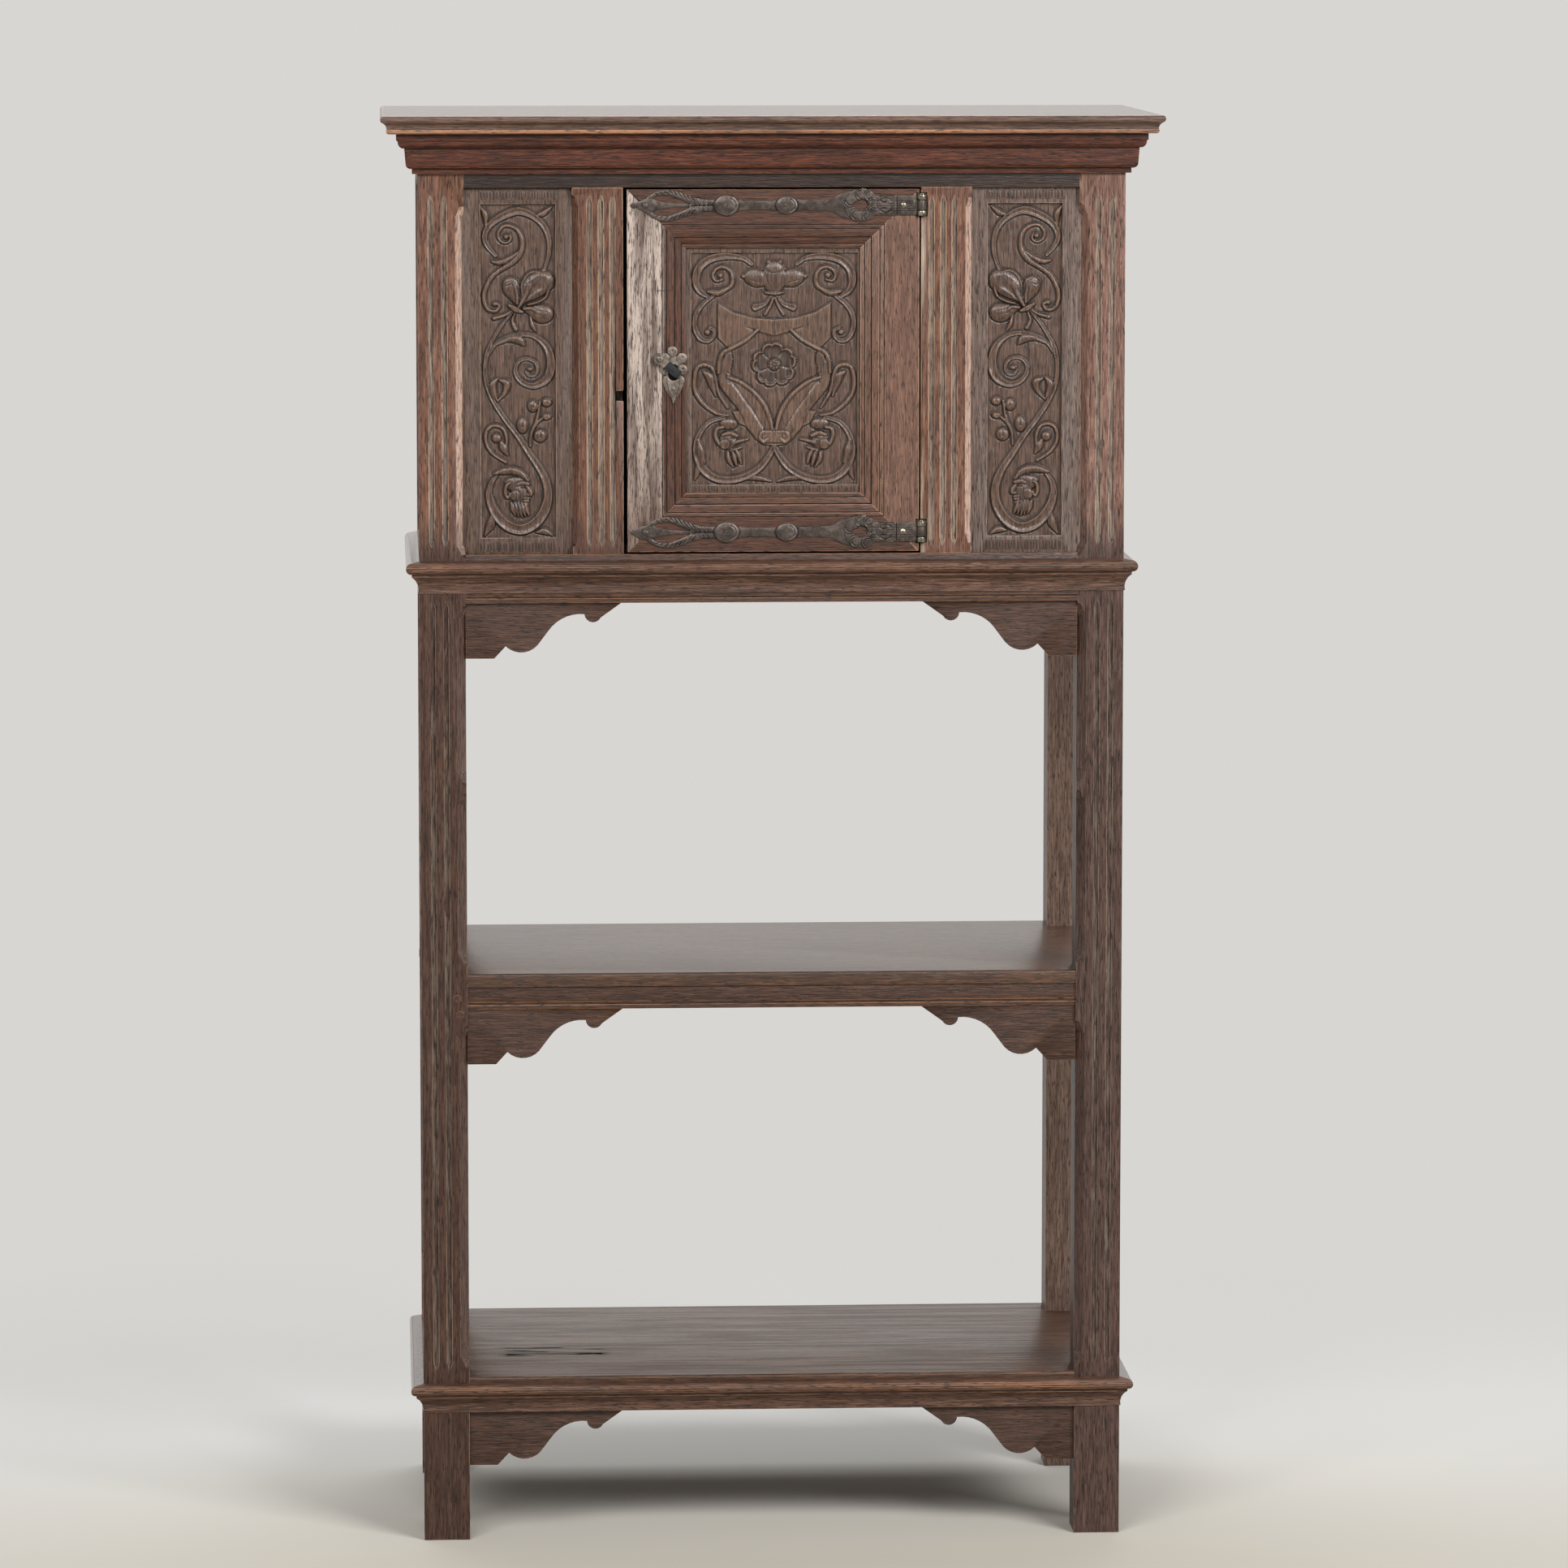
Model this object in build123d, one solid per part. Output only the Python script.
from build123d import *
import math
import os

# Court cupboard on posts, in joined oak.  Millimetres, +Z up, +X to the right of
# someone facing the door, front towards -Y.  The origin is on the floor, in the
# middle of the box that holds the whole piece.

os.makedirs("parts", exist_ok=True)

# ---------------------------------------------------------------- driving sizes
# the stack of heights, from the floor up
foot_height = 137.0
base_rail_height = 21.0
base_board_thickness = 16.0
lower_stage_height = 391.0
shelf_rail_height = 24.0
shelf_thickness = 14.0
upper_stage_height = 390.0
waist_rail_height = 51.0
opening_height = 381.0
frieze_rail_height = 56.0
top_thickness = 19.0

# plan
frame_width = 736.0
frame_depth = 392.0
post_size = 48.0
top_reach = 38.0

# frame members
front_rail_thickness = 30.0
side_rail_thickness = 26.0
shelf_setback = 3.0
muntin_width = 53.0
muntin_thickness = 26.0
door_opening_width = 310.0
tenon_thickness = 9.0
front_tenon_length = 30.0
side_tenon_length = 20.0
tenon_shoulder = 4.0
muntin_tenon_length = 16.0
tenon_play = 0.15
mortise_extra_depth = 1.5

# panels and boards
groove_depth = 6.0
groove_play = 0.5
carved_panel_thickness = 14.0
carved_panel_recess = 7.0
carved_margin = 17.0
carved_sink = 5.0
side_panel_thickness = 9.0
side_panel_inset = 6.5
back_board_thickness = 12.0
back_board_inset = 18.0
back_board_count = 3
floor_thickness = 16.0
floor_rebate_depth = 8.0
floor_rebate_width = 5.0
door_stop_gap = 0.5

# decoration cut into the frame
flute_width = 5.5
flute_radius = 3.2
flute_inset = 13.5
flute_pitch = 14.0
flute_margin = 7.0
flute_point = 9.0
muntin_flute_inset = 11.0
muntin_flute_pitch = 12.0
chamfer_width = 9.4
muntin_chamfer_width = 7.0
chamfer_run = 14.0
chamfer_margin = 16.0
chamfer_break = 8.0
chamfer_below_door = 4.0
chamfer_under_rail = 2.0
scratch_width = 1.6
scratch_depth = 1.4
scratch_height = 6.0

# mouldings
cornice_height = 41.4
cornice_reach = 21.6
waist_moulding_drop = 6.5
waist_moulding_height = 33.7
waist_moulding_reach = 14.0
base_moulding_drop = 6.0
base_moulding_height = 31.0
base_moulding_reach = 13.5
board_edge_radius = 3.0
top_nose_height = 7.6
top_bead_height = 5.3
top_nose_round = 3.0
top_neck_in = 7.0
top_bead_round = 1.0
top_foot_in = 9.0

# scroll brackets
bracket_length = 163.0
bracket_height = 58.2
bracket_thickness = 18.0
bracket_setback = 5.0
bracket_tenon_length = 14.0
bracket_tenon_thickness = 8.0
bracket_tenon_gap = 1.0

# pegs
peg_width = 8.6
peg_length = 34.0
peg_stand = 0.6
peg_from_arris = 11.0
bracket_peg_down = 5.0
bracket_peg_from_arris = 8.0

# door
door_thickness = 22.0
door_gap_lock = 4.0
door_gap_hinge = 2.0
door_gap_top = 2.0
door_gap_bottom = 2.0
door_flat_width = 36.0
door_quirk_width = 1.0
door_quirk_depth = 1.1
door_groove_front = 8.0
door_tongue_thickness = 7.0
door_groove_depth = 4.5
door_panel_sink = 4.0
door_panel_swell = 3.0
door_field_left = 6.0
door_field_right = 2.5
door_field_top = 5.0
door_field_foot = 8.5

# members of the door's moulding, from outside in: step down, width and fall of each
door_bead = (0.2, 3.4, 0.2)
door_fascia = (0.2, 7.6, 0.8)
door_ovolo = (1.6, 6.0, 1.6)
door_fillet = (0.2, 4.0, 0.2)
door_moulding = (door_bead, door_fascia, door_ovolo, door_fillet)
door_tenon_length = 40.0
door_tenon_height = 24.0
door_tenon_inset = 24.0
door_tenon_thickness = 4.0
door_tenon_from_back = 1.5
door_tenon_root = 6.0

# strap hinges
strap_thickness = 2.4
strap_from_top = 16.5
strap_from_bottom = 20.5
strap_tip_gap = 5.0
leaf_length = 66.0
leaf_width = 34.6
leaf_apex = 40.0
leaf_head_length = 20.0
leaf_head_width = 13.0
leaf_branch_width = 5.6
leaf_rib_width = 2.4
leaf_nail_from_tip = 14.0
stem_width = 11.6
boss_radii = (10.5, 9.3)
boss_offsets = (204.0, 141.0)
boss_height = 2.2
boss_shoulder = 5.0
neck_width = 9.8
rosette_radius = 17.8
rosette_from_axis = 62.5
rosette_hole_radius = 6.4
rosette_hole_point = 12.5
end_plate_height = 21.8
end_plate_nail = 19.0
knuckle_radius = 5.1
knuckle_height = 22.0
middle_knuckle_height = 11.0
knuckle_stand = 2.0
hinge_axis_in = 0.5
knuckle_play = 0.4
hinge_pin_radius = 2.3
hinge_pin_play = 0.05
hinge_pin_head = 1.2
fixed_pin_play = 0.02
leaf_thickness = 2.0
leaf_depth = 18.0
recess_play = 1.0
strap_end_gap = 0.6

# nails
nail_width = 2.4
nail_length = 15.0
short_nail_length = 9.0
nail_head_radius = 3.4
nail_head_height = 1.6
nail_head_slope = 40.0

# lock
lock_height = 66.0
lock_length = 56.0
lock_depth = 13.0
lock_wall = 2.0
keyhole_width = 9.6
keyhole_length = 16.0
keyhole_from_edge = 48.0
keyhole_above_bottom = 187.0
bolt_height = 9.0
bolt_thickness = 7.0
bolt_length = 44.0
bolt_throw = 12.0
bolt_below_keyhole = 24.0
bolt_play = 0.4
bolt_edge_setback = 0.5
bolt_above_case = 10.0
strike_play_z = 1.0
strike_play_y = 2.0
strike_end_room = 8.5
strike_notch = 8.0
escutcheon_thickness = 1.6
escutcheon_rise = 27.0
escutcheon_drop = 32.0
escutcheon_width = 29.0
escutcheon_nail_drop = 16.5
cover_thickness = 3.0
cover_eye_radius = 6.2
cover_width = 9.6
cover_length = 27.0
cover_tilt = 49.0
cover_pivot_left = 14.0
cover_pivot_up = 14.5
cover_stud_radius = 2.2
cover_play = 0.3
cover_stud_play = 0.05
stud_head_radius = 3.6
stud_head_height = 1.4

# how far a cutting body runs past the face it opens, and how far joined bodies run together
cut_past = 1.0
overlap = 1.0

# chords and flats that stand for round stretches that a saw, gouge or hammer leaves uneven
bracket_chord_count = 7
bead_chord_count = 7
hollow_chord_count = 4
forged_chord_count = 3
tongue_chord_count = 3
flute_side_count = 12
peg_side_count = 6
rosette_side_count = 16
barrel_side_count = 10
forged_side_count = 12
lobe_side_count = 9
nail_side_count = 6

# ------------------------------------------------------------ levels and planes
base_rail_bottom = foot_height
base_rail_top = base_rail_bottom + base_rail_height
base_top = base_rail_top + base_board_thickness
shelf_rail_bottom = base_top + lower_stage_height
shelf_rail_top = shelf_rail_bottom + shelf_rail_height
shelf_top = shelf_rail_top + shelf_thickness
waist_rail_bottom = shelf_top + upper_stage_height
waist_rail_top = waist_rail_bottom + waist_rail_height
frieze_rail_bottom = waist_rail_top + opening_height
post_top = frieze_rail_bottom + frieze_rail_height
total_height = post_top + top_thickness

half_width = frame_width / 2
inner_x = half_width - post_size
back_y = (frame_depth + top_reach) / 2
front_y = back_y - frame_depth
front_post_back_y = front_y + post_size
rear_post_front_y = back_y - post_size
half_opening = door_opening_width / 2
muntin_outer_x = half_opening + muntin_width

LEFT = -1
RIGHT = 1
nodes = {}


# --------------------------------------------------------------------- helpers
def block(x0, x1, y0, y1, z0, z1):
    """A box between two corners given in any order."""
    size = Box(abs(x1 - x0), abs(y1 - y0), abs(z1 - z0))
    return Pos((x0 + x1) / 2, (y0 + y1) / 2, (z0 + z1) / 2) * size


def block_span(corners):
    """Lowest and highest value of a box along each axis."""
    return [sorted(corners[i:i + 2]) for i in (0, 2, 4)]


def mortise(corners, along):
    """The hole for a tenon: play on its cheeks, more at its ends."""
    out = []
    for axis, (low, high) in enumerate(block_span(corners)):
        extra = mortise_extra_depth if axis == along else tenon_play
        out += [low - extra, high + extra]
    return block(*out)


tenons = []


def add_tenon(x0, x1, y0, y1, z0, z1, along):
    """Remembers a tenon, so that a post gets its mortise, and returns its solid."""
    corners = (x0, x1, y0, y1, z0, z1)
    tenons.append((corners, along))
    return block(*corners)


def both_sides(solid):
    """The solid and its mirror image on the other side of the cupboard."""
    return solid + mirror(solid, about=Plane.YZ)


def face_of(*edges):
    """A flat face from edges drawn on the XY plane, end to end."""
    outline = edges[0]
    for edge in edges[1:]:
        outline = outline + edge
    return make_face(outline)


def chorded(arc, chords):
    """A round stretch of an outline as a few equal chords."""
    return Polyline(*(arc @ (i / chords) for i in range(chords + 1)))


def prism_z(points, z0, z1):
    """A polygon in plan, raised from z0 to z1."""
    plan = make_face(Polyline(*points, close=True))
    return extrude(Pos(0, 0, z0) * plan, z1 - z0)


def front_view(y):
    """A plane seen from the front: X to the right, Z up, its normal towards -Y."""
    return Plane(origin=(0, y, 0), x_dir=(1, 0, 0), z_dir=(0, -1, 0))


def plate(face, back_y_of_plate, thickness):
    """Raises a face drawn in front view towards the viewer."""
    return extrude(front_view(back_y_of_plate) * face, thickness)


# ------------------------------------------------------------ rails of the frame
def front_back_rail(z0, height, y_face, thickness, direction):
    """A rail along X between two posts; direction points from its face inwards."""
    y_in = y_face + direction * thickness
    rail = block(-inner_x, inner_x, y_face, y_in, z0, z0 + height)
    middle = (y_face + y_in) / 2
    for side in (LEFT, RIGHT):
        rail += add_tenon(
            side * inner_x,
            side * (inner_x + front_tenon_length),
            middle - tenon_thickness / 2,
            middle + tenon_thickness / 2,
            z0 + tenon_shoulder,
            z0 + height - tenon_shoulder,
            0,
        )
    return rail


def side_rail(z0, height, setback, side):
    """A rail along Y between a front and a rear post."""
    x_out = side * (half_width - setback)
    x_in = x_out - side * side_rail_thickness
    rail = block(x_in, x_out, front_post_back_y, rear_post_front_y, z0, z0 + height)
    middle = (x_in + x_out) / 2
    ends = (
        (front_post_back_y, front_post_back_y - side_tenon_length),
        (rear_post_front_y, rear_post_front_y + side_tenon_length),
    )
    for y0, y1 in ends:
        rail += add_tenon(
            middle - tenon_thickness / 2,
            middle + tenon_thickness / 2,
            y0,
            y1,
            z0 + tenon_shoulder,
            z0 + height - tenon_shoulder,
            1,
        )
    return rail


def scratch_line(z, y_face):
    """A bead line scratched along a front rail."""
    return block(
        -inner_x,
        inner_x,
        y_face - cut_past,
        y_face + scratch_depth,
        z - scratch_width / 2,
        z + scratch_width / 2,
    )


base_front = front_back_rail(base_rail_bottom, base_rail_height, front_y, front_rail_thickness, 1)
base_rear = front_back_rail(base_rail_bottom, base_rail_height, back_y, side_rail_thickness, -1)
base_side = side_rail(base_rail_bottom, base_rail_height, 0, RIGHT)
side_rail(base_rail_bottom, base_rail_height, 0, LEFT)

shelf_face_y = front_y + shelf_setback
shelf_front = front_back_rail(shelf_rail_bottom, shelf_rail_height, shelf_face_y, side_rail_thickness, 1)
shelf_rear = front_back_rail(
    shelf_rail_bottom, shelf_rail_height, back_y - shelf_setback, side_rail_thickness, -1
)
shelf_side = side_rail(shelf_rail_bottom, shelf_rail_height, shelf_setback, RIGHT)
side_rail(shelf_rail_bottom, shelf_rail_height, shelf_setback, LEFT)
shelf_front -= scratch_line(shelf_rail_bottom + scratch_height, shelf_face_y)

waist_front = front_back_rail(waist_rail_bottom, waist_rail_height, front_y, front_rail_thickness, 1)
waist_rear = front_back_rail(waist_rail_bottom, waist_rail_height, back_y, side_rail_thickness, -1)
waist_side = side_rail(waist_rail_bottom, waist_rail_height, 0, RIGHT)
side_rail(waist_rail_bottom, waist_rail_height, 0, LEFT)
waist_front -= scratch_line(waist_rail_bottom + scratch_height, front_y)

frieze_front = front_back_rail(frieze_rail_bottom, frieze_rail_height, front_y, front_rail_thickness, 1)
frieze_rear = front_back_rail(frieze_rail_bottom, frieze_rail_height, back_y, side_rail_thickness, -1)
frieze_side = side_rail(frieze_rail_bottom, frieze_rail_height, 0, RIGHT)
side_rail(frieze_rail_bottom, frieze_rail_height, 0, LEFT)

# --------------------------------------------------------- boards of the stages
floor_front_y = front_y + door_thickness + door_stop_gap
floor_back_y = back_y - side_rail_thickness + floor_rebate_width
floor_half = half_width - side_rail_thickness + floor_rebate_width
floor_bottom = waist_rail_top - floor_rebate_depth


def post_corners(z0, z1, play):
    """The four posts' plan, as notches in a board between two heights."""
    notch = None
    for side in (LEFT, RIGHT):
        for y0, y1 in ((front_y, front_post_back_y), (rear_post_front_y, back_y)):
            corner = block(
                side * (inner_x - play),
                side * (half_width + cut_past),
                y0 - (cut_past if y0 == front_y else play),
                y1 + (cut_past if y1 == back_y else play),
                z0,
                z1,
            )
            notch = corner if notch is None else notch + corner
    return notch


floor_space = block(
    -floor_half, floor_half, floor_front_y, floor_back_y, floor_bottom, floor_bottom + floor_thickness
)
waist_front -= floor_space
waist_rear -= floor_space
waist_side -= floor_space
muntin_feet = both_sides(
    block(
        half_opening - groove_play, muntin_outer_x + groove_play, front_y, front_y + muntin_thickness,
        floor_bottom - cut_past, floor_bottom + floor_thickness + cut_past,
    )
)
cupboard_floor = floor_space - post_corners(
    floor_bottom - cut_past, floor_bottom + floor_thickness + cut_past, groove_play
)
nodes["cupboard_floor"] = cupboard_floor - muntin_feet


def board(z0, thickness, side_inset, front_inset, back_inset):
    """A stage board with a rounded front edge, notched round the posts."""
    x = half_width - side_inset
    y0 = front_y + front_inset
    plain = block(-x, x, y0, back_y - back_inset, z0, z0 + thickness)
    top_front = plain.edges().filter_by(Axis.X).sort_by(Axis.Z)[-2:].sort_by(Axis.Y)[0]
    rounded = fillet(top_front, board_edge_radius)
    return rounded - post_corners(z0 - cut_past, z0 + thickness + cut_past, 0)


nodes["base_board"] = board(base_rail_top, base_board_thickness, 0, 0, 0)
nodes["shelf_board"] = board(shelf_rail_top, shelf_thickness, shelf_setback, 1.0, shelf_setback)


# -------------------------------------------------------------------- mouldings
def front_zone(reach, z0, z1):
    """Plan of a front moulding, mitred at both ends."""
    points = [
        (-half_width, front_y),
        (half_width, front_y),
        (half_width + reach, front_y - reach),
        (-half_width - reach, front_y - reach),
    ]
    return prism_z(points, z0, z1)


def side_zone(reach, z0, z1):
    """Plan of a right-hand return, mitred at the front and square at the back."""
    points = [
        (half_width, front_y),
        (half_width + reach, front_y - reach),
        (half_width + reach, back_y),
        (half_width, back_y),
    ]
    return prism_z(points, z0, z1)


def moulding_set(name, profile, reach, z0, z1):
    """Front, left and right lengths of one moulding, mitred together."""
    run = frame_width + frame_depth
    front_plane = Plane(origin=(0, front_y, 0), x_dir=(0, -1, 0), z_dir=(-1, 0, 0))
    side_plane = Plane(origin=(half_width, 0, 0), x_dir=(1, 0, 0), z_dir=(0, -1, 0))
    front = extrude(front_plane * profile, run, both=True) & front_zone(reach, z0 - cut_past, z1 + cut_past)
    right = extrude(side_plane * profile, run, both=True) & side_zone(reach, z0 - cut_past, z1 + cut_past)
    nodes[name + "_front"] = front
    nodes[name + "_right"] = right
    nodes[name + "_left"] = mirror(right, about=Plane.YZ)


def cornice_profile(z1, height, reach):
    """Fillet, small ogee, tall fascia, ovolo and top fascia, under the top board."""
    z0 = z1 - height
    z_fillet = z0 + height * 0.13
    z_ogee = z0 + height * 0.27
    z_fascia = z0 + height * 0.645
    z_ovolo = z0 + height * 0.82
    foot = reach * 0.25
    low = reach * 0.555
    high = reach * 0.61
    step = reach * 0.73
    shoulder = reach * 0.925
    swell = (step + shoulder) / 2 + height * 0.024
    small_hollow = ThreePointArc((foot, z_fillet), (low * 0.86, z_fillet + height * 0.03), (low, z_ogee))
    ovolo = ThreePointArc(
        (step, z_fascia), (swell, (z_fascia + z_ovolo) / 2 - height * 0.024), (shoulder, z_ovolo)
    )
    return face_of(
        Polyline((0, z1), (0, z0), (foot, z0), (foot, z_fillet)),
        chorded(small_hollow, hollow_chord_count),
        Polyline((low, z_ogee), (high, z_fascia), (step, z_fascia)),
        chorded(ovolo, hollow_chord_count),
        Polyline((shoulder, z_ovolo), (reach, z_ovolo + height * 0.024), (reach, z1), (0, z1)),
    )


def bead_and_hollow_profile(z1, height, reach, top_slope):
    """A half-round bead over a fillet and a hollow, with a weathered top."""
    z0 = z1 - height
    bead = height * 0.36
    neck = reach - bead / 2
    bead_top = z1 - top_slope
    bead_bottom = bead_top - bead
    hollow_top = bead_bottom - height * 0.075
    foot = reach * 0.1
    deep = (foot + (neck - foot) * 0.3, z0 + (hollow_top - z0) * 0.72)
    hollow = ThreePointArc((foot, z0), deep, (neck, hollow_top))
    nose = ThreePointArc((neck, bead_bottom), (reach, (bead_bottom + bead_top) / 2), (neck, bead_top))
    return face_of(
        Polyline((0, z1), (0, z0), (foot, z0)),
        chorded(hollow, hollow_chord_count),
        Polyline((neck, hollow_top), (neck, bead_bottom)),
        chorded(nose, bead_chord_count),
        Polyline((neck, bead_top), (0, z1)),
    )


moulding_set("cornice", cornice_profile(post_top, cornice_height, cornice_reach), cornice_reach,
             post_top - cornice_height, post_top)

waist_moulding_top = waist_rail_top - waist_moulding_drop
moulding_set("waist_moulding",
             bead_and_hollow_profile(waist_moulding_top, waist_moulding_height, waist_moulding_reach, 1.5),
             waist_moulding_reach, waist_moulding_top - waist_moulding_height, waist_moulding_top)

base_moulding_top = base_top - base_moulding_drop
moulding_set("base_moulding",
             bead_and_hollow_profile(base_moulding_top, base_moulding_height, base_moulding_reach, 1.0),
             base_moulding_reach, base_moulding_top - base_moulding_height, base_moulding_top)


# -------------------------------------------------------------------- top board
def top_edge(sign, offset):
    """The moulded edge of the top board: nose, hollow and bead; sign turns it round."""
    def at(reach, z):
        return (sign * (offset + reach), z)

    nose_x = top_reach - top_nose_round
    neck_x = top_reach - top_neck_in
    bead_x = neck_x + top_bead_round
    foot_x = top_reach - top_foot_in
    hollow_top = total_height - top_nose_height
    bead_top = post_top + top_bead_height
    nose = ThreePointArc(at(nose_x, total_height), at(top_reach, total_height - top_nose_height / 2),
                         at(nose_x, hollow_top))
    hollow = ThreePointArc(at(nose_x, hollow_top), at(bead_x, (hollow_top + bead_top) / 2),
                           at(neck_x, bead_top))
    bead = ThreePointArc(at(neck_x, bead_top), at(bead_x, (post_top + bead_top) / 2), at(foot_x, post_top))
    return [
        chorded(nose, bead_chord_count),
        chorded(hollow, hollow_chord_count),
        chorded(bead, hollow_chord_count),
    ]


def top_board():
    """The top, moulded on its front and both ends, square at the back."""
    span = frame_width + frame_depth
    right = top_edge(1, half_width)
    left = top_edge(-1, half_width)
    nose_x = half_width + top_reach - top_nose_round
    foot_x = half_width + top_reach - top_foot_in
    across = face_of(*right, *left,
                     Line((-nose_x, total_height), (nose_x, total_height)),
                     Line((-foot_x, post_top), (foot_x, post_top)))
    front = top_edge(-1, -front_y)
    nose_y = front_y - top_reach + top_nose_round
    foot_y = front_y - top_reach + top_foot_in
    along = face_of(*front,
                    Line((nose_y, total_height), (back_y, total_height)),
                    Line((back_y, total_height), (back_y, post_top)),
                    Line((back_y, post_top), (foot_y, post_top)))
    cross_plane = Plane(origin=(0, 0, 0), x_dir=(1, 0, 0), z_dir=(0, -1, 0))
    long_plane = Plane(origin=(0, 0, 0), x_dir=(0, 1, 0), z_dir=(1, 0, 0))
    return extrude(cross_plane * across, span, both=True) & extrude(long_plane * along, span, both=True)


nodes["top_board"] = top_board()


# --------------------------------------------------------------------- brackets
def bracket_face():
    """Scroll-cut outline from the post (x = 0) along the rail (y = 0), hanging down."""
    def at(along, down):
        return (along * bracket_length, -down * bracket_height)

    return face_of(
        Polyline(at(0.864, 0.27), at(1, 0), at(0, 0), at(0, 1), at(0.182, 1), at(0.255, 0.778)),
        chorded(ThreePointArc(at(0.255, 0.778), at(0.354, 0.892), at(0.46, 0.76)), bracket_chord_count),
        Line(at(0.46, 0.76), at(0.53, 0.5)),
        chorded(ThreePointArc(at(0.53, 0.5), at(0.63, 0.268), at(0.76, 0.208)), bracket_chord_count),
        chorded(ThreePointArc(at(0.76, 0.208), at(0.805, 0.352), at(0.864, 0.27)), bracket_chord_count),
    )


def bracket(rail_bottom, side):
    """A bracket under a rail, tenoned into the inner side of a front post."""
    y_front = front_y + bracket_setback
    flat = plate(bracket_face(), y_front + bracket_thickness, bracket_thickness)
    solid = Pos(-inner_x, 0, rail_bottom) * flat
    middle = y_front + bracket_thickness / 2
    tenon = (
        -inner_x - bracket_tenon_length,
        -inner_x,
        middle - bracket_tenon_thickness / 2,
        middle + bracket_tenon_thickness / 2,
        rail_bottom - bracket_height + tenon_shoulder,
        rail_bottom - bracket_tenon_gap,
    )
    if side == RIGHT:
        solid = mirror(solid, about=Plane.YZ)
        tenon = (-tenon[0], -tenon[1]) + tenon[2:]
    return solid + add_tenon(*tenon, 0)


bracket_levels = {"waist": waist_rail_bottom, "shelf": shelf_rail_bottom, "base": base_rail_bottom}
for level, rail_bottom in bracket_levels.items():
    nodes["bracket_" + level + "_left"] = bracket(rail_bottom, LEFT)
    nodes["bracket_" + level + "_right"] = bracket(rail_bottom, RIGHT)


# ------------------------------------------------------------ muntins and panels
carved_front_y = front_y + carved_panel_recess
carved_back_y = carved_front_y + carved_panel_thickness
carved_reach = groove_depth - groove_play
carved_outer_x = inner_x + carved_reach
carved_inner_x = muntin_outer_x - carved_reach
carved_left = block(
    -carved_outer_x,
    -carved_inner_x,
    carved_front_y,
    carved_back_y,
    waist_rail_top - groove_depth,
    frieze_rail_bottom + carved_reach,
)
carved_field = block(
    -inner_x + carved_margin,
    -muntin_outer_x - carved_margin,
    carved_front_y - cut_past,
    carved_front_y + carved_sink,
    waist_rail_top + carved_margin,
    frieze_rail_bottom - carved_margin,
)
nodes["carved_panel_left"] = carved_left - carved_field
nodes["carved_panel_right"] = mirror(nodes["carved_panel_left"], about=Plane.YZ)

carved_groove = both_sides(
    block(
        -inner_x - groove_depth,
        -muntin_outer_x + groove_depth,
        carved_front_y,
        carved_back_y,
        waist_rail_top - groove_depth,
        frieze_rail_bottom + groove_depth,
    )
)

side_panel_x = half_width - side_panel_inset
side_panel = block(
    side_panel_x - side_panel_thickness,
    side_panel_x,
    front_post_back_y - carved_reach,
    rear_post_front_y + carved_reach,
    waist_rail_top - groove_depth,
    frieze_rail_bottom + carved_reach,
)
side_groove = both_sides(
    block(
        side_panel_x - side_panel_thickness,
        side_panel_x,
        front_post_back_y - groove_depth,
        rear_post_front_y + groove_depth,
        waist_rail_top - groove_depth,
        frieze_rail_bottom + groove_depth,
    )
)
nodes["side_panel_right"] = side_panel
nodes["side_panel_left"] = mirror(side_panel, about=Plane.YZ)

back_front_y = back_y - back_board_inset
back_groove = block(
    -inner_x - groove_depth,
    inner_x + groove_depth,
    back_front_y,
    back_front_y + back_board_thickness,
    waist_rail_top - groove_depth,
    frieze_rail_bottom + groove_depth,
)
back_board_width = 2 * (inner_x + carved_reach) / back_board_count
back_boards = []
for i in range(back_board_count):
    x0 = -inner_x - carved_reach + i * back_board_width
    one = block(
        x0,
        x0 + back_board_width,
        back_front_y,
        back_front_y + back_board_thickness,
        waist_rail_top - groove_depth,
        frieze_rail_bottom + carved_reach,
    )
    back_boards.append(one)
nodes["back_boards"] = Compound(children=back_boards)

waist_front -= carved_groove
frieze_front -= carved_groove
waist_side -= side_groove
frieze_side -= side_groove
waist_rear -= back_groove
frieze_rear -= back_groove


def flute(x, z0, z1):
    """A gouge-cut flute on the front face that runs out to a point at each end."""
    centre_out = math.sqrt(flute_radius**2 - (flute_width / 2) ** 2)
    y = front_y - centre_out
    gouge = RegularPolygon(flute_radius, flute_side_count)
    point = RegularPolygon(centre_out, flute_side_count)
    low, high = z0 + flute_point, z1 - flute_point
    body = extrude(Pos(x, y, low) * gouge, high - low)
    low_end = loft([Pos(x, y, z0) * point, Pos(x, y, low) * gouge], ruled=True)
    high_end = loft([Pos(x, y, high) * gouge, Pos(x, y, z1) * point], ruled=True)
    return body + low_end + high_end


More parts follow.
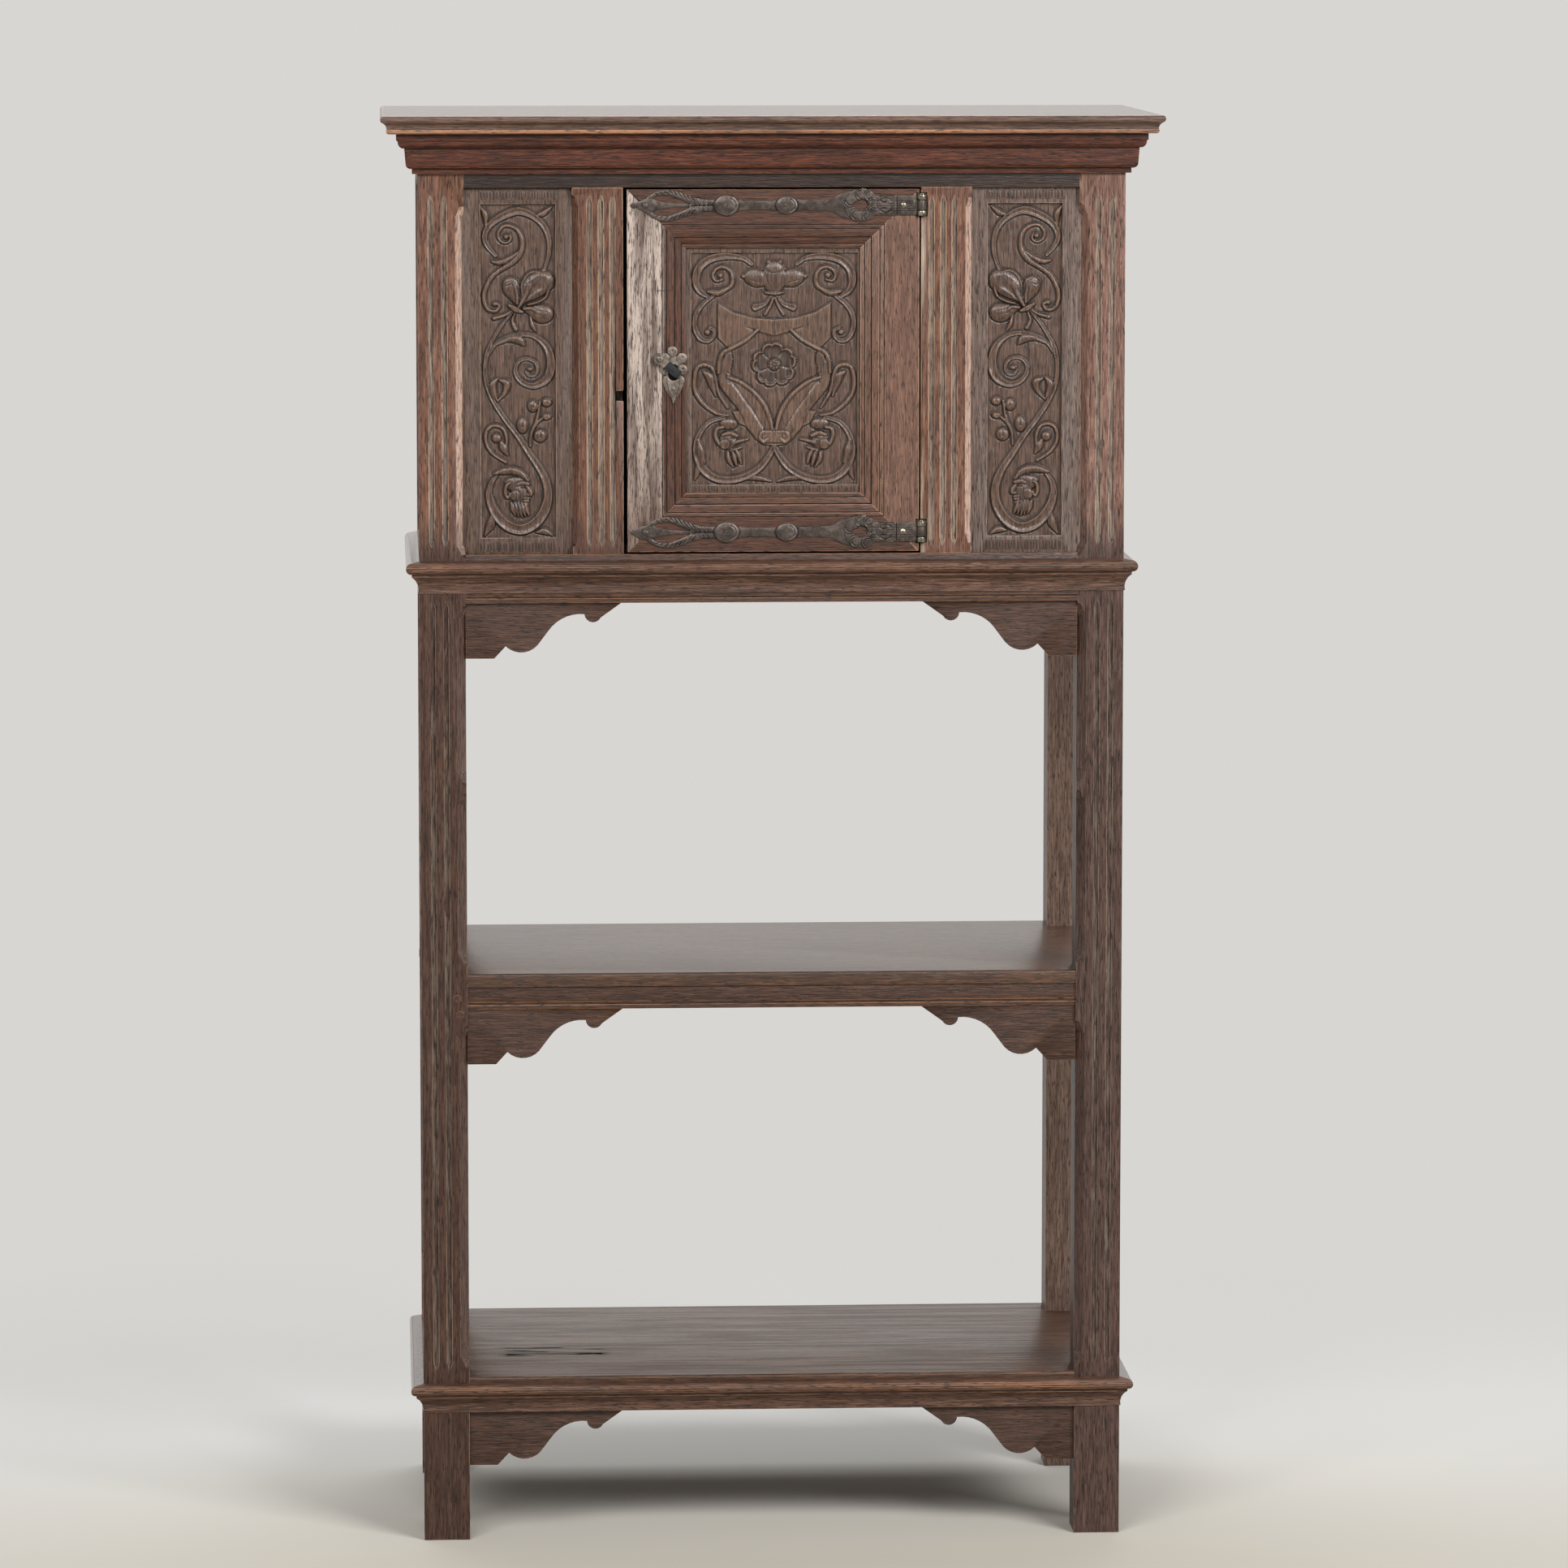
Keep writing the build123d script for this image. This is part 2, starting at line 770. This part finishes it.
def stopped_chamfer(x, inward, width, z0, z1):
    """A chamfer on a front arris at x, ending in a lamb's tongue at each end."""
    deep = width / math.sqrt(2)
    run = chamfer_run
    plane = Plane(
        origin=(x, front_y, 0), x_dir=(inward / math.sqrt(2), 1 / math.sqrt(2), 0),
        z_dir=(1 / math.sqrt(2), -inward / math.sqrt(2), 0),
    )

    def tongue(z, turn):
        """The ogee of a lamb's tongue from the arris at z; turn is -1 at the top, 1 at the bottom."""
        bend = (deep * 0.55, z + turn * run * 0.42)
        hollow = ThreePointArc((0, z), (deep * 0.32, z + turn * run * 0.12), bend)
        swell = ThreePointArc(bend, (deep * 0.83, z + turn * run * 0.82), (deep, z + turn * run))
        return chorded(hollow, tongue_chord_count), chorded(swell, tongue_chord_count)

    outline = face_of(
        Polyline((0, z0), (-deep, z0), (-deep, z1), (0, z1)),
        *tongue(z1, -1),
        Line((deep, z1 - run), (deep, z0 + run)),
        *reversed(tongue(z0, 1)),
    )
    return extrude(plane * outline, width, both=True)


def plain_muntin():
    """The right-hand muntin with its tenons, flutes and stopped chamfer."""
    middle = front_y + front_rail_thickness / 2
    solid = block(
        half_opening, muntin_outer_x, front_y, front_y + muntin_thickness, waist_rail_top, frieze_rail_bottom
    )
    for z0, z1 in (
        (waist_rail_top - muntin_tenon_length, waist_rail_top),
        (frieze_rail_bottom, frieze_rail_bottom + muntin_tenon_length),
    ):
        solid += block(
            half_opening + tenon_shoulder,
            muntin_outer_x - groove_depth - tenon_shoulder,
            middle - tenon_thickness / 2,
            middle + tenon_thickness / 2,
            z0,
            z1,
        )
    for i in range(3):
        x = half_opening + muntin_flute_inset + i * muntin_flute_pitch
        solid -= flute(x, waist_rail_top + flute_margin, frieze_rail_bottom - flute_margin)
    solid -= stopped_chamfer(
        muntin_outer_x, -1, muntin_chamfer_width,
        waist_rail_top + flute_margin, frieze_rail_bottom - flute_margin,
    )
    return solid


def muntin_mortises():
    """The four mortises for the muntins' tenons, in both long rails."""
    middle = front_y + front_rail_thickness / 2
    one = block(
        half_opening + tenon_shoulder - tenon_play,
        muntin_outer_x - groove_depth - tenon_shoulder + tenon_play,
        middle - tenon_thickness / 2 - tenon_play,
        middle + tenon_thickness / 2 + tenon_play,
        waist_rail_top - muntin_tenon_length - mortise_extra_depth,
        frieze_rail_bottom + muntin_tenon_length + mortise_extra_depth,
    )
    return both_sides(one)


muntin = plain_muntin()
waist_front -= muntin_mortises()
frieze_front -= muntin_mortises()
muntin_right = muntin - carved_groove
muntin_left = mirror(muntin, about=Plane.YZ) - carved_groove


# ------------------------------------------------------------------------- pegs
def peg(position, direction, stand):
    """A six-sided riven peg driven in from a face; direction points inwards."""
    start = Vector(*position) - Vector(*direction) * stand
    plane = Plane(origin=start, z_dir=direction)
    section = RegularPolygon(peg_width / 2, peg_side_count, major_radius=False)
    return extrude(plane * section, peg_length + stand)


def frame_pegs():
    """Pegs through the tenons: two at the shelf's left front joint, the rest at sides and back.

    Side pegs that a moulding covers are cut off flush.
    """
    shelf_middle = shelf_rail_bottom + shelf_rail_height / 2
    front_spots = (
        (-inner_x - peg_from_arris, shelf_middle),
        (-inner_x - bracket_peg_from_arris, shelf_rail_bottom - bracket_peg_down),
    )
    pegs = [peg((x, front_y, z), (0, 1, 0), peg_stand) for x, z in front_spots]
    tall = ((waist_rail_bottom, waist_rail_height), (frieze_rail_bottom, frieze_rail_height))
    heights = [z + h * share for z, h in tall for share in (0.3, 0.7)]
    heights += [base_rail_bottom + base_rail_height / 2, shelf_middle]
    tenon_middles = (
        front_post_back_y - side_tenon_length / 2,
        rear_post_front_y + side_tenon_length / 2,
    )
    for z in heights:
        stand = peg_stand if z == shelf_middle else 0
        for side in (LEFT, RIGHT):
            for y in tenon_middles:
                pegs.append(peg((side * half_width, y, z), (-side, 0, 0), stand))
            rear_x = side * (inner_x + front_tenon_length / 2)
            pegs.append(peg((rear_x, back_y, z), (0, -1, 0), 0))
    return pegs


pegs = frame_pegs()


def without_pegs(solid, near):
    """Drills a member for the pegs that reach it, given its box."""
    for one in pegs:
        box = one.bounding_box()
        clear = (
            box.max.X < near.min.X or box.min.X > near.max.X
            or box.max.Y < near.min.Y or box.min.Y > near.max.Y
            or box.max.Z < near.min.Z or box.min.Z > near.max.Z
        )
        if not clear:
            solid -= one
    return solid


# ------------------------------------------------------------------------ posts
def post(x_side, y0, y1, decorated):
    """A post from the floor to the top board, with its mortises and grooves."""
    solid = block(x_side * inner_x, x_side * half_width, y0, y1, 0, post_top)
    for corners, along in tenons:
        xm = (corners[0] + corners[1]) / 2
        ym = (corners[2] + corners[3]) / 2
        if xm * x_side > inner_x and y0 < ym < y1:
            solid -= mortise(corners, along)
    solid = solid - carved_groove - side_groove - back_groove
    if decorated:
        zones = (
            (waist_rail_top + flute_margin, frieze_rail_bottom - flute_margin),
            (base_top + flute_margin, waist_moulding_top - waist_moulding_height - flute_margin),
        )
        for z0, z1 in zones:
            for i in range(2):
                x = x_side * (half_width - flute_inset - i * flute_pitch)
                solid -= flute(x, z0, z1)
        stage_middle = (shelf_top + waist_rail_bottom) / 2
        runs = (
            (waist_rail_top - chamfer_below_door, frieze_rail_bottom - chamfer_margin),
            (shelf_top + chamfer_margin / 2, stage_middle - chamfer_break / 2),
            (stage_middle + chamfer_break / 2, waist_rail_bottom - chamfer_under_rail),
            (base_top + chamfer_margin / 2, shelf_rail_bottom - chamfer_margin),
        )
        for z0, z1 in runs:
            solid -= stopped_chamfer(x_side * inner_x, x_side, chamfer_width, z0, z1)
    return without_pegs(solid, solid.bounding_box())


nodes["post_front_left"] = post(LEFT, front_y, front_post_back_y, True)
nodes["post_front_right"] = post(RIGHT, front_y, front_post_back_y, True)
nodes["post_rear_left"] = post(LEFT, rear_post_front_y, back_y, False)
nodes["post_rear_right"] = post(RIGHT, rear_post_front_y, back_y, False)


def pegged(solid):
    return without_pegs(solid, solid.bounding_box())


nodes["base_rail_front"] = base_front
nodes["base_rail_rear"] = pegged(base_rear)
nodes["base_rail_right"] = pegged(base_side)
nodes["base_rail_left"] = mirror(nodes["base_rail_right"], about=Plane.YZ)
nodes["shelf_rail_front"] = pegged(shelf_front)
nodes["shelf_rail_rear"] = pegged(shelf_rear)
nodes["shelf_rail_right"] = pegged(shelf_side)
nodes["shelf_rail_left"] = mirror(nodes["shelf_rail_right"], about=Plane.YZ)
nodes["waist_rail_front"] = waist_front
nodes["waist_rail_rear"] = pegged(waist_rear)
waist_right = pegged(waist_side)
nodes["waist_rails_side"] = Compound(children=[waist_right, mirror(waist_right, about=Plane.YZ)])
nodes["frieze_rail_front"] = frieze_front
nodes["frieze_rail_rear"] = pegged(frieze_rear)
frieze_right = pegged(frieze_side)
nodes["frieze_rails_side"] = Compound(children=[frieze_right, mirror(frieze_right, about=Plane.YZ)])
nodes["bracket_shelf_left"] = pegged(nodes["bracket_shelf_left"])
nodes["frame_pegs"] = Compound(children=pegs)

# ------------------------------------------------------------------- door frame
door_x0 = -half_opening + door_gap_lock
door_x1 = half_opening - door_gap_hinge
door_z0 = waist_rail_top + door_gap_bottom
door_z1 = frieze_rail_bottom - door_gap_top
door_back_y = front_y + door_thickness


def member_profile():
    """Section of a door member: w inwards from its outer edge, d back from its face.

    Each member of the moulding starts behind a narrow quirk.
    """
    w, d = door_flat_width, 0.0
    points = [(w, d)]
    for step, width, fall in door_moulding:
        quirk_bottom = d + step + door_quirk_depth
        points += [(w, quirk_bottom), (w + door_quirk_width, quirk_bottom), (w + door_quirk_width, d + step)]
        w += door_quirk_width + width
        d += step + fall
        points.append((w, d))
    groove_w = w - door_groove_depth
    groove_back = door_groove_front + door_tongue_thickness
    points += [(w, door_groove_front), (groove_w, door_groove_front), (groove_w, groove_back),
               (w, groove_back), (w, door_thickness), (0, door_thickness), (0, 0)]
    return make_face(Polyline(*points, close=True))


def mitred_member(outer, inner_dir, zone_points):
    """Runs the section along a side of the door and cuts it to its mitred outline."""
    along = Vector(*inner_dir).cross(Vector(0, 1, 0))
    plane = Plane(origin=outer, x_dir=inner_dir, z_dir=along)
    # the section's second direction must point backwards
    length = total_height
    raw = extrude(plane * member_profile(), length, both=True)
    zone = plate(make_face(Polyline(*zone_points, close=True)), door_back_y + cut_past,
                 door_thickness + 2 * cut_past)
    return raw & zone


member = door_flat_width + sum(door_quirk_width + width for step, width, fall in door_moulding)
field_x0 = door_x0 + member
field_x1 = door_x1 - member
field_z0 = door_z0 + member
field_z1 = door_z1 - member
door_stile_lock = mitred_member(
    (door_x0, front_y, 0), (1, 0, 0),
    [(door_x0, door_z0), (field_x0, field_z0), (field_x0, field_z1), (door_x0, door_z1)],
)
door_stile_hinge = mitred_member(
    (door_x1, front_y, 0), (-1, 0, 0),
    [(door_x1, door_z0), (field_x1, field_z0), (field_x1, field_z1), (door_x1, door_z1)],
)
door_rail_top = mitred_member(
    (0, front_y, door_z1), (0, 0, -1),
    [(door_x0, door_z1), (field_x0, field_z1), (field_x1, field_z1), (door_x1, door_z1)],
)
door_rail_bottom = mitred_member(
    (0, front_y, door_z0), (0, 0, 1),
    [(door_x0, door_z0), (field_x0, field_z0), (field_x1, field_z0), (door_x1, door_z0)],
)

tenon_y0 = door_back_y - door_tenon_thickness - door_tenon_from_back
for z_outer, inward in ((door_z0, 1), (door_z1, -1)):
    z_a = z_outer + inward * door_tenon_inset
    z_b = z_a + inward * door_tenon_height
    for x_outer, sign in ((door_x0, 1), (door_x1, -1)):
        tip = x_outer + sign * (member - door_tenon_length)
        root = x_outer + sign * (member + door_tenon_root)
        tenon = block(tip, root, tenon_y0, tenon_y0 + door_tenon_thickness, z_a, z_b)
        if inward == 1:
            door_rail_bottom += tenon
        else:
            door_rail_top += tenon
        if sign == 1:
            door_stile_lock -= tenon
        else:
            door_stile_hinge -= tenon

tongue = door_groove_depth - groove_play
panel_front_y = front_y + door_groove_front
tongue_back_y = panel_front_y + door_tongue_thickness
door_panel = block(
    field_x0 - tongue, field_x1 + tongue, panel_front_y, tongue_back_y,
    field_z0 - door_groove_depth, field_z1 + tongue,
)
door_panel += block(field_x0, field_x1, panel_front_y, tongue_back_y + door_panel_swell, field_z0, field_z1)
door_panel -= block(
    field_x0 + door_field_left, field_x1 - door_field_right,
    panel_front_y - cut_past, panel_front_y + door_panel_sink,
    field_z0 + door_field_foot, field_z1 - door_field_top,
)
nodes["door_panel"] = door_panel

# ----------------------------------------------------------------------- hinges
hinge_x = half_opening + hinge_axis_in
hinge_y = front_y - knuckle_stand
hinge_levels = {"top": door_z1 - strap_from_top, "bottom": door_z0 + strap_from_bottom}
strap_tip_x = door_x0 + strap_tip_gap


def upper_and_lower(face):
    """A face and its mirror image below the strap's centre line."""
    return face + mirror(face, about=Plane.XZ)


def waisted(x0, half0, x1, half1, half_middle):
    """A length of strap between two stations that draws in between them."""
    middle = (x0 + x1) / 2
    upper = ThreePointArc((x0, half0), (middle, half_middle), (x1, half1))
    lower = ThreePointArc((x1, -half1), (middle, -half_middle), (x0, -half0))
    return face_of(
        chorded(upper, forged_chord_count),
        Line((x1, half1), (x1, -half1)),
        chorded(lower, forged_chord_count),
        Line((x0, -half0), (x0, half0)),
    )


def leaf_end():
    """The open leaf: a pointed head, two bowed branches and a thin midrib."""
    half = leaf_width / 2
    head = leaf_head_width / 2
    stem = stem_width / 2
    apex = (strap_tip_x + leaf_apex, half)
    head_x = strap_tip_x + leaf_head_length
    end_x = strap_tip_x + leaf_length
    shoulder = (strap_tip_x + leaf_head_length * 0.7, head)
    taper = end_x - apex[0]
    bend = (apex[0] + taper * 0.66, half * 0.6)
    curves = (
        ThreePointArc((strap_tip_x, 0), (strap_tip_x + leaf_head_length * 0.3, head * 0.8), shoulder),
        ThreePointArc(shoulder, (head_x + (apex[0] - head_x) * 0.3, head + (half - head) * 0.72), apex),
        ThreePointArc(apex, (apex[0] + taper * 0.42, half * 0.82), bend),
        ThreePointArc(bend, (apex[0] + taper * 0.82, half * 0.43), (end_x, stem)),
    )
    outer = face_of(
        *(chorded(curve, forged_chord_count) for curve in curves),
        Line((end_x, stem), (end_x, 0)),
        Line((end_x, 0), (strap_tip_x, 0)),
    )
    inner_apex = (apex[0], half - leaf_branch_width)
    rib = leaf_rib_width / 2
    root = (head_x, rib * 2.5)
    point = (apex[0] + taper * 0.8, rib * 1.4)
    curves = (
        ThreePointArc(root, (head_x + (apex[0] - head_x) * 0.3, inner_apex[1] * 0.76), inner_apex),
        ThreePointArc(inner_apex, (apex[0] + taper * 0.46, inner_apex[1] * 0.66), point),
        ThreePointArc(point, (apex[0], rib), root),
    )
    opening = face_of(*(chorded(curve, forged_chord_count) for curve in curves))
    return upper_and_lower(outer - opening)


def strap_face():
    """Outline of a strap about its centre line, from its leaf end to the knuckle."""
    stem = stem_width / 2
    neck = neck_width / 2
    first, second = (hinge_x - offset for offset in boss_offsets)
    rosette_x = hinge_x - rosette_from_axis
    outline = leaf_end()
    outline += waisted(strap_tip_x + leaf_length - overlap, stem, first, stem * 1.25, stem)
    outline += waisted(first, boss_radii[0] * 0.8, second, neck * 1.3, neck)
    flare_x = rosette_x - rosette_radius * 0.75
    outline += waisted(second, boss_radii[1] * 0.7, flare_x, rosette_radius * 0.68, neck)
    outline += Pos(first, 0) * RegularPolygon(boss_radii[0], forged_side_count)
    outline += Pos(second, 0) * RegularPolygon(boss_radii[1], forged_side_count)
    outline += Pos(rosette_x, 0) * RegularPolygon(rosette_radius, rosette_side_count)
    plate_end = hinge_x - knuckle_radius - strap_end_gap
    outline += Pos((rosette_x + plate_end) / 2, 0) * Rectangle(plate_end - rosette_x, end_plate_height)
    r = rosette_hole_radius
    cheek_x = rosette_x - r / 2
    cheek = r * math.sqrt(3) / 2
    hole = face_of(
        Line((rosette_x - rosette_hole_point, 0), (cheek_x, cheek)),
        chorded(ThreePointArc((cheek_x, cheek), (rosette_x + r, 0), (cheek_x, -cheek)), lobe_side_count),
        Line((cheek_x, -cheek), (rosette_x - rosette_hole_point, 0)),
    )
    return outline - hole


def nail_spots():
    """Where the nails go through a strap, each with how far its head stands off the wood."""
    on_bosses = [(hinge_x - offset, strap_thickness + boss_height) for offset in boss_offsets]
    on_the_flat = [(x, strap_thickness) for x in (hinge_x - end_plate_nail, strap_tip_x + leaf_nail_from_tip)]
    return on_bosses + on_the_flat


def boss(x, z, radius):
    """A low boss raised by the hammer, its top flat for the nail's head."""
    foot_y = front_y - strap_thickness
    foot = RegularPolygon(radius, forged_side_count)
    crown = RegularPolygon(radius - boss_shoulder, forged_side_count)
    return loft(
        [front_view(foot_y) * Pos(x, z) * foot, front_view(foot_y - boss_height) * Pos(x, z) * crown],
        ruled=True,
    )


def barrel(z, height):
    """A knuckle about the hinge axis with its middle at z, before it is bored."""
    rod = extrude(RegularPolygon(knuckle_radius, barrel_side_count), height)
    return Pos(hinge_x, hinge_y, z - height / 2) * rod


def strap(z):
    """A forged strap with bosses and the middle knuckle."""
    solid = Pos(0, 0, z) * plate(strap_face(), front_y, strap_thickness)
    for offset, radius in zip(boss_offsets, boss_radii):
        solid += boss(hinge_x - offset, z, radius)
    neck_height = middle_knuckle_height - 2 * knuckle_play
    solid += block(
        hinge_x - knuckle_radius - overlap, hinge_x, front_y - strap_thickness, front_y - knuckle_play,
        z - neck_height / 2, z + neck_height / 2,
    )
    solid += barrel(z, neck_height)
    solid -= Pos(hinge_x, hinge_y, z) * Cylinder(hinge_pin_radius + hinge_pin_play, knuckle_height)
    return solid


def nail(x, z, stand, length):
    """A hand-forged nail with a rose head, its head resting on iron that stands off the wood."""
    y_head = front_y - stand
    shank = block(x - nail_width / 2, x + nail_width / 2, y_head, y_head + length,
                  z - nail_width / 2, z + nail_width / 2)
    head = extrude(front_view(y_head) * (Pos(x, z) * RegularPolygon(nail_head_radius, nail_side_count)),
                   nail_head_height, taper=nail_head_slope)
    return shank + head


def hinge_leaf(z):
    """The carcase half: a leaf let into the muntin's edge, with the two outer knuckles."""
    half = knuckle_height / 2
    x0 = half_opening
    plate_in_edge = block(x0, x0 + leaf_thickness, hinge_y, front_y + leaf_depth, z - half, z + half)
    knuckles = barrel(z, knuckle_height)
    bore = Pos(hinge_x, hinge_y, z) * Cylinder(hinge_pin_radius + fixed_pin_play, 2 * knuckle_height)
    clear = knuckle_radius + knuckle_play
    gap = block(hinge_x - clear, hinge_x + clear, hinge_y - clear, hinge_y + clear,
                z - middle_knuckle_height / 2, z + middle_knuckle_height / 2)
    return (plate_in_edge + knuckles) - bore - gap


def hinge_pin(z):
    """A pin with a small head that rests on the upper knuckle."""
    half = knuckle_height / 2
    shaft = Pos(hinge_x, hinge_y, z) * Cylinder(hinge_pin_radius, knuckle_height)
    head = extrude(RegularPolygon(knuckle_radius * 0.72, barrel_side_count), hinge_pin_head)
    return shaft + Pos(hinge_x, hinge_y, z + half) * head


def knuckle_recess(z):
    """The hollow cut in door and muntin round the barrel."""
    reach = knuckle_radius + recess_play
    return block(
        hinge_x - reach, hinge_x + reach, front_y - cut_past, hinge_y + reach,
        z - knuckle_height / 2 - recess_play, z + knuckle_height / 2 + recess_play + hinge_pin_head,
    )


leaves = []
pins = []
nails = []
for name, z in hinge_levels.items():
    one = strap(z)
    for spot, stand in nail_spots():
        nails.append(nail(spot, z, stand, nail_length))
        one -= nails[-1]
    nodes["strap_hinge_" + name] = one
    leaves.append(hinge_leaf(z))
    pins.append(hinge_pin(z))
    recess = knuckle_recess(z)
    door_stile_hinge -= recess
    door_rail_top -= recess
    door_rail_bottom -= recess
    muntin_right -= recess
    half = knuckle_height / 2
    muntin_right -= block(
        half_opening - cut_past, half_opening + leaf_thickness, front_y, front_y + leaf_depth,
        z - half, z + half,
    )
nodes["hinge_leaves"] = Compound(children=leaves)
nodes["hinge_pins"] = Compound(children=pins)
nodes["muntin_right"] = muntin_right

# ------------------------------------------------------------------------- lock
keyhole_x = door_x0 + keyhole_from_edge
keyhole_z = door_z0 + keyhole_above_bottom
bolt_z = keyhole_z - bolt_below_keyhole
lock_x0 = door_x0
lock_x1 = door_x0 + lock_length
lock_y1 = door_back_y
lock_y0 = lock_y1 - lock_depth
lock_z0 = bolt_z - bolt_height / 2 - bolt_above_case
lock_z1 = lock_z0 + lock_height


def keyhole_cut(y0, y1):
    """An upright, round-ended keyhole between two depths."""
    slot = Pos(keyhole_x, keyhole_z) * (Rot(0, 0, 90) * SlotOverall(keyhole_length, keyhole_width))
    return plate(slot, y1, y1 - y0)


lock_case = block(lock_x0, lock_x1, lock_y0, lock_y1, lock_z0, lock_z1)
lock_case -= block(
    lock_x0 + lock_wall, lock_x1 - lock_wall, lock_y0 + lock_wall, lock_y1 - lock_wall,
    lock_z0 + lock_wall, lock_z1 - lock_wall,
)
bolt_y = (lock_y0 + lock_y1) / 2
bolt_x0 = door_x0 + bolt_edge_setback
lock_bolt = block(
    bolt_x0, bolt_x0 + bolt_length,
    bolt_y - bolt_thickness / 2, bolt_y + bolt_thickness / 2,
    bolt_z - bolt_height / 2, bolt_z + bolt_height / 2,
)
lock_bolt -= block(
    bolt_x0 + bolt_length * 0.62, bolt_x0 + bolt_length * 0.82,
    bolt_y - bolt_thickness, bolt_y + bolt_thickness,
    bolt_z + bolt_height / 4, bolt_z + bolt_height,
)
lock_case -= block(
    lock_x0 - cut_past, lock_x0 + lock_wall + cut_past,
    bolt_y - bolt_thickness / 2 - bolt_play, bolt_y + bolt_thickness / 2 + bolt_play,
    bolt_z - bolt_height / 2 - bolt_play, bolt_z + bolt_height / 2 + bolt_play,
)
lock_case -= keyhole_cut(lock_y0 - cut_past, lock_y0 + lock_wall + cut_past)
nodes["lock_case"] = lock_case
nodes["lock_bolt"] = lock_bolt
door_stile_lock -= block(lock_x0 - cut_past, lock_x1, lock_y0, lock_y1 + cut_past, lock_z0, lock_z1)
door_stile_lock -= keyhole_cut(front_y - cut_past, lock_y0 + cut_past)

strike_half_height = bolt_height / 2 + strike_play_z
strike_half_width = bolt_thickness / 2 + strike_play_y
strike_depth = bolt_throw - door_gap_lock - bolt_edge_setback + strike_end_room
muntin_left -= block(
    -half_opening - strike_depth, -half_opening + cut_past,
    bolt_y - strike_half_width, bolt_y + strike_half_width,
    bolt_z - strike_half_height, bolt_z + strike_half_height,
)
muntin_left -= block(
    -half_opening - strike_notch, -half_opening + cut_past,
    front_y - cut_past, bolt_y,
    bolt_z - strike_half_height, bolt_z + strike_half_height,
)
nodes["muntin_left"] = muntin_left


# ------------------------------------------------- escutcheon and keyhole cover
cover_pivot_x = keyhole_x - cover_pivot_left
cover_pivot_z = keyhole_z + cover_pivot_up


def escutcheon_face():
    """A lobed crown round the keyhole and a pointed heart below it."""
    half = escutcheon_width / 2
    rise = escutcheon_rise
    drop = escutcheon_drop
    lobe = half * 0.39
    crown = Pos(0, rise * 0.28) * RegularPolygon(half * 0.76, forged_side_count)
    crown += Pos(0, rise - lobe) * RegularPolygon(lobe, lobe_side_count)
    for side in (LEFT, RIGHT):
        crown += Pos(side * half * 0.65, rise * 0.57) * RegularPolygon(lobe, lobe_side_count)
        crown += Pos(side * (half - lobe), rise * 0.1) * RegularPolygon(lobe, lobe_side_count)
    cheek = (half * 0.84, -drop * 0.29)
    dip = (half * 0.4, -drop * 0.11)
    lower = ThreePointArc((0, -drop), (half * 0.45, -drop * 0.55), cheek)
    upper = ThreePointArc(cheek, (half * 0.7, -drop * 0.14), dip)
    half_heart = face_of(
        chorded(lower, forged_chord_count),
        chorded(upper, tongue_chord_count),
        Line(dip, (0, 0)),
        Line((0, 0), (0, -drop)),
    )
    return crown + half_heart + mirror(half_heart, about=Plane.YZ)


escutcheon = plate(Pos(keyhole_x, keyhole_z) * escutcheon_face(), front_y, escutcheon_thickness)
escutcheon -= keyhole_cut(front_y - escutcheon_thickness - cut_past, front_y + cut_past)
stud_front_y = front_y - escutcheon_thickness - cover_thickness - 2 * cover_play
pivot = Pos(cover_pivot_x, cover_pivot_z)
stud = plate(pivot * Circle(cover_stud_radius), front_y, front_y - stud_front_y)
stud_pad = plate(pivot * RegularPolygon(cover_eye_radius, forged_side_count), front_y, escutcheon_thickness)
stud_head = plate(pivot * RegularPolygon(stud_head_radius, lobe_side_count), stud_front_y, stud_head_height)
nodes["escutcheon"] = escutcheon + stud_pad + stud + stud_head

cover_y = front_y - escutcheon_thickness - cover_play
bar = Pos(cover_length / 2, 0) * Rectangle(cover_length, cover_width)
bar = chamfer(bar.vertices().group_by(Axis.X)[-1], cover_width * 0.25)
cover_eye = RegularPolygon(cover_eye_radius, forged_side_count)
cover_face = cover_eye + bar - Circle(cover_stud_radius + cover_stud_play)
cover_turn = Rot(0, 0, -(90 - cover_tilt))
cover = plate(pivot * (cover_turn * cover_face), cover_y, cover_thickness)
nodes["keyhole_cover"] = cover

# a short nail holds the heart of the escutcheon, clear of the lock behind it
nails.append(nail(keyhole_x, keyhole_z - escutcheon_nail_drop, escutcheon_thickness, short_nail_length))
nodes["escutcheon"] -= nails[-1]

for one in nails:
    door_stile_lock -= one
    door_stile_hinge -= one
    door_rail_top -= one
    door_rail_bottom -= one
nodes["door_nails"] = Compound(children=nails)
nodes["door_stile_lock"] = door_stile_lock
nodes["door_stile_hinge"] = door_stile_hinge
nodes["door_rail_top"] = door_rail_top
nodes["door_rail_bottom"] = door_rail_bottom

# ----------------------------------------------------------------------- export
for name, shape in nodes.items():
    export_step(shape, "parts/" + name + ".step")
print(len(nodes), "nodes; total height", total_height, "hinge axis", hinge_x, hinge_y)
